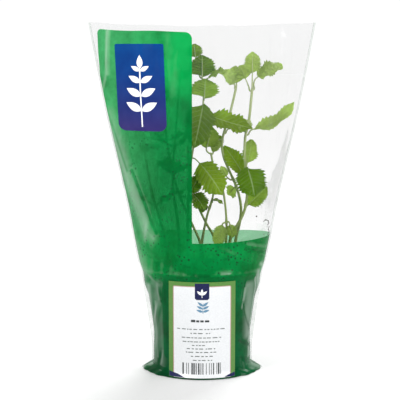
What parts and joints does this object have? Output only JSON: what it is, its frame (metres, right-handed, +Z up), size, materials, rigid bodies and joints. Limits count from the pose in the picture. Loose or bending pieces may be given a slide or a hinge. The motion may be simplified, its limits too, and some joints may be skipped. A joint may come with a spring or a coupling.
{
  "type": "potted mint plant in a film sleeve",
  "caption": "Young mint plant growing in a tapered nursery pot, inside an open-ended printed film sleeve with a paper label on the front.",
  "frame": {"origin": "under the middle of the pot, on the surface that it stands on", "axes": "+Z up along the pot and the sleeve, -Y out of the labelled front of the sleeve, +X to the right seen from the front"},
  "size_m": [0.2034, 0.1111, 0.314],
  "materials": {
    "pot": "black moulded polypropylene, satin",
    "compost": "damp peat compost with crumbs and bark chips",
    "printed_film": "clear polypropylene film with a green print and an unprinted window",
    "label_paper": "coated white paper with a green printed border",
    "mint_stem": "pale green square stem, fine hairs",
    "mint_leaf": "fresh green leaf, satin above and paler below, sunken veins"
  },
  "bodies": {
    "root": {"label": "label_paper", "leaf_1_back": "mint_leaf", "leaf_1_left": "mint_leaf", "leaf_1_long": "mint_leaf", "leaf_1_low": "mint_leaf", "leaf_1_pale": "mint_leaf", "leaf_1_right": "mint_leaf", "leaf_1_round": "mint_leaf", "leaf_1_side": "mint_leaf", "leaf_1_top": "mint_leaf", "leaf_2_back": "mint_leaf", "leaf_2_bud": "mint_leaf", "leaf_2_droop": "mint_leaf", "leaf_2_fold": "mint_leaf", "leaf_2_left": "mint_leaf", "leaf_2_right": "mint_leaf", "leaf_3_left": "mint_leaf", "leaf_3_right": "mint_leaf", "leaf_4_left": "mint_leaf", "leaf_4_low_left": "mint_leaf", "leaf_4_low_right": "mint_leaf", "leaf_4_right": "mint_leaf", "leaf_5_large": "mint_leaf", "leaf_5_low": "mint_leaf", "leaf_5_upper": "mint_leaf", "leaf_6_crown": "mint_leaf", "leaf_6_front": "mint_leaf", "leaf_6_large": "mint_leaf", "leaf_6_right": "mint_leaf", "leaf_6_tip": "mint_leaf", "leaf_7_inner": "mint_leaf", "leaf_7_pair_1a": "mint_leaf", "leaf_7_pair_1b": "mint_leaf", "leaf_7_pair_2a": "mint_leaf", "leaf_7_pair_2b": "mint_leaf", "leaf_7_pair_3a": "mint_leaf", "leaf_7_pair_3b": "mint_leaf", "leaf_8_pair_1a": "mint_leaf", "leaf_8_pair_1b": "mint_leaf", "leaf_8_pair_2a": "mint_leaf", "leaf_8_pair_2b": "mint_leaf", "leaf_8_pair_3a": "mint_leaf", "leaf_8_pair_3b": "mint_leaf", "leaf_9_pair_1a": "mint_leaf", "leaf_9_pair_1b": "mint_leaf", "leaf_9_pair_2a": "mint_leaf", "leaf_9_pair_2b": "mint_leaf", "pot": "pot", "sleeve_back": "printed_film", "sleeve_front": "printed_film", "soil": "compost", "stem_1": "mint_stem", "stem_2": "mint_stem", "stem_3": "mint_stem", "stem_4": "mint_stem", "stem_5": "mint_stem", "stem_6": "mint_stem", "stem_7": "mint_stem", "stem_8": "mint_stem", "stem_9": "mint_stem"}
  },
  "joints": []
}
